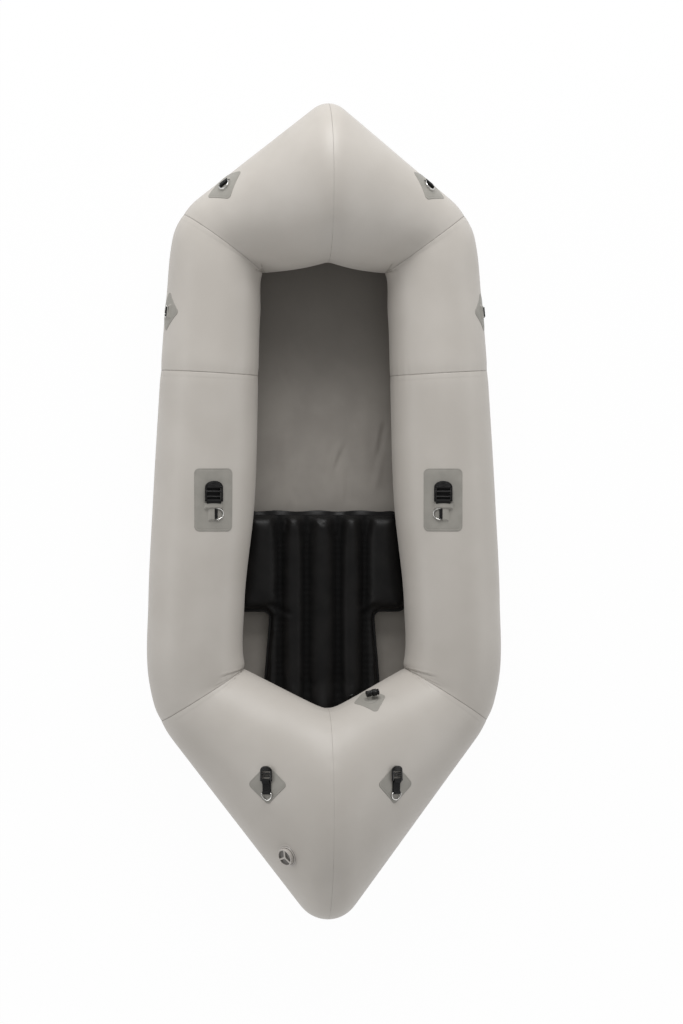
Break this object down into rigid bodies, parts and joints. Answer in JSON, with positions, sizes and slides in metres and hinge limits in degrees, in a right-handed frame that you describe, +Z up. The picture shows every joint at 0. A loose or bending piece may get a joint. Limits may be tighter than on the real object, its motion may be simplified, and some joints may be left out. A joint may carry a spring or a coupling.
{
  "type": "packraft",
  "caption": "Inflatable one-person packraft: upturned pointed bow and stern, side tubes, sheet floor, channelled T-shaped seat, D-rings, ladder-lock buckles and valves.",
  "frame": {"origin": "on the ground under the middle of the raft", "axes": "+Y towards the bow, +X to starboard, +Z up"},
  "size_m": [0.938, 2.16, 0.438],
  "materials": {
    "hull_fabric": "satin coated nylon, grey",
    "patch_fabric": "satin coated nylon, darker grey",
    "floor_fabric": "matt coated nylon, dark grey",
    "seat_fabric": "satin coated nylon, black",
    "webbing": "woven webbing, black",
    "buckle_plastic": "moulded, black",
    "steel": "stainless wire, polished",
    "valve_plastic": "moulded, grey",
    "seal_rubber": "matt"
  },
  "bodies": {
    "hull": {"bow_left": "hull_fabric", "bow_patch_left": "patch_fabric", "bow_patch_right": "patch_fabric", "bow_right": "hull_fabric", "bow_webbing_left": "webbing", "bow_webbing_right": "webbing", "floor": "floor_fabric", "fore_side_left": "hull_fabric", "fore_side_right": "hull_fabric", "mid_buckle_webbing_left": "webbing", "mid_buckle_webbing_right": "webbing", "mid_patch_left": "patch_fabric", "mid_patch_right": "patch_fabric", "mid_side_left": "hull_fabric", "mid_side_right": "hull_fabric", "mid_webbing_left": "webbing", "mid_webbing_right": "webbing", "seat": "seat_fabric", "seat_tab_left": "webbing", "seat_tab_right": "webbing", "seat_valve_base": "valve_plastic", "side_patch_left": "patch_fabric", "side_patch_right": "patch_fabric", "side_webbing_left": "webbing", "side_webbing_right": "webbing", "stern_left": "hull_fabric", "stern_patch_left": "patch_fabric", "stern_patch_right": "patch_fabric", "stern_right": "hull_fabric", "stern_webbing_left": "webbing", "stern_webbing_right": "webbing", "topup_barrel": "buckle_plastic", "topup_boot": "patch_fabric", "topup_patch": "patch_fabric", "valve_base": "valve_plastic"},
    "bow_ring_left": {"bow_ring_left": "steel"},
    "side_ring_left": {"side_ring_left": "steel"},
    "mid_ring_left": {"mid_ring_left": "steel"},
    "stern_ring_left": {"stern_ring_left": "steel"},
    "mid_buckle_left": {"mid_buckle_left": "buckle_plastic"},
    "stern_buckle_left": {"stern_buckle_left": "buckle_plastic"},
    "bow_ring_right": {"bow_ring_right": "steel"},
    "side_ring_right": {"side_ring_right": "steel"},
    "mid_ring_right": {"mid_ring_right": "steel"},
    "stern_ring_right": {"stern_ring_right": "steel"},
    "mid_buckle_right": {"mid_buckle_right": "buckle_plastic"},
    "stern_buckle_right": {"stern_buckle_right": "buckle_plastic"},
    "valve_insert_seal": {"valve_insert_seal": "seal_rubber"},
    "valve_insert": {"valve_insert": "valve_plastic", "valve_diaphragm": "seal_rubber"},
    "valve_cap_seal": {"valve_cap_seal": "seal_rubber"},
    "valve_cap": {"valve_cap": "valve_plastic"},
    "topup_seal": {"topup_seal": "seal_rubber"},
    "topup_mouthpiece": {"topup_mouthpiece": "buckle_plastic"},
    "seat_valve_cap": {"seat_valve_cap": "buckle_plastic"}
  },
  "joints": [
    {"name": "bow_ring_swing_left", "type": "hinge", "parent": "hull", "child": "bow_ring_left", "pos_m": [-0.27501, 0.86904, 0.21532], "axis": [-0.746, -0.587, -0.3144], "range_deg": [0, 150]},
    {"name": "side_ring_swing_left", "type": "hinge", "parent": "hull", "child": "side_ring_left", "pos_m": [-0.42378, 0.53139, 0.16217], "axis": [0.0925, 0.9957, 0], "range_deg": [0, 150]},
    {"name": "mid_ring_swing_left", "type": "hinge", "parent": "hull", "child": "mid_ring_left", "pos_m": [-0.29704, -0.00613, 0.26783], "axis": [0, -0.9995, -0.0307], "range_deg": [0, 150]},
    {"name": "stern_ring_swing_left", "type": "hinge", "parent": "hull", "child": "stern_ring_left", "pos_m": [-0.17225, -0.74151, 0.35652], "axis": [-0.8282, 0, -0.5604], "range_deg": [0, 150]},
    {"name": "mid_buckle_swing_left", "type": "hinge", "parent": "hull", "child": "mid_buckle_left", "pos_m": [-0.30418, 0.02803, 0.27149], "axis": [0.9923, 0, -0.1237], "range_deg": [0, 60]},
    {"name": "stern_buckle_swing_left", "type": "hinge", "parent": "hull", "child": "stern_buckle_left", "pos_m": [-0.17379, -0.70759, 0.3588], "axis": [0.8282, 0, 0.5604], "range_deg": [0, 60]},
    {"name": "bow_ring_swing_right", "type": "hinge", "parent": "hull", "child": "bow_ring_right", "pos_m": [0.27501, 0.86904, 0.21532], "axis": [-0.746, 0.587, 0.3144], "range_deg": [0, 150]},
    {"name": "side_ring_swing_right", "type": "hinge", "parent": "hull", "child": "side_ring_right", "pos_m": [0.42378, 0.53139, 0.16217], "axis": [0.0925, -0.9957, 0], "range_deg": [0, 150]},
    {"name": "mid_ring_swing_right", "type": "hinge", "parent": "hull", "child": "mid_ring_right", "pos_m": [0.29704, -0.00613, 0.26783], "axis": [0, 0.9995, 0.0307], "range_deg": [0, 150]},
    {"name": "stern_ring_swing_right", "type": "hinge", "parent": "hull", "child": "stern_ring_right", "pos_m": [0.17225, -0.74151, 0.35652], "axis": [-0.8282, 0, 0.5604], "range_deg": [0, 150]},
    {"name": "mid_buckle_swing_right", "type": "hinge", "parent": "hull", "child": "mid_buckle_right", "pos_m": [0.30418, 0.02803, 0.27149], "axis": [0.9923, 0, 0.1237], "range_deg": [0, 60]},
    {"name": "stern_buckle_swing_right", "type": "hinge", "parent": "hull", "child": "stern_buckle_right", "pos_m": [0.17379, -0.70759, 0.3588], "axis": [0.8282, 0, -0.5604], "range_deg": [0, 60]},
    {"name": "valve_insert_lift", "type": "slide", "parent": "hull", "child": "valve_insert_seal", "axis": [-0.712, -0.3721, 0.5955], "range_m": [0, 0.006]},
    {"name": "valve_insert_turn", "type": "hinge", "parent": "valve_insert_seal", "child": "valve_insert", "pos_m": [-0.11513, -0.90709, 0.34626], "axis": [-0.712, -0.3721, 0.5955], "range_deg": [0, 540]},
    {"name": "valve_cap_lift", "type": "slide", "parent": "valve_insert", "child": "valve_cap_seal", "axis": [-0.712, -0.3721, 0.5955], "range_m": [0, 0.005]},
    {"name": "valve_cap_turn", "type": "hinge", "parent": "valve_cap_seal", "child": "valve_cap", "pos_m": [-0.11513, -0.90709, 0.34626], "axis": [-0.712, -0.3721, 0.5955], "range_deg": [0, 450]},
    {"name": "topup_lift", "type": "slide", "parent": "hull", "child": "topup_seal", "axis": [0.9689, 0.1815, -0.168], "range_m": [0, 0.0025]},
    {"name": "topup_turn", "type": "hinge", "parent": "topup_seal", "child": "topup_mouthpiece", "pos_m": [0.11529, -0.47978, 0.27352], "axis": [0.9689, 0.1815, -0.168], "range_deg": [0, 180]},
    {"name": "seat_valve_turn", "type": "hinge", "parent": "hull", "child": "seat_valve_cap", "pos_m": [0.07773, -0.49913, 0.0991], "axis": [0.2091, -0.237, 0.9487], "range_deg": [0, 90]}
  ],
  "couplings": [
    {"joint": "valve_insert_lift", "follows": "valve_insert_turn", "m_per_rad": 0.0006366},
    {"joint": "valve_cap_lift", "follows": "valve_cap_turn", "m_per_rad": 0.0006366},
    {"joint": "topup_lift", "follows": "topup_turn", "m_per_rad": 0.0007957}
  ]
}
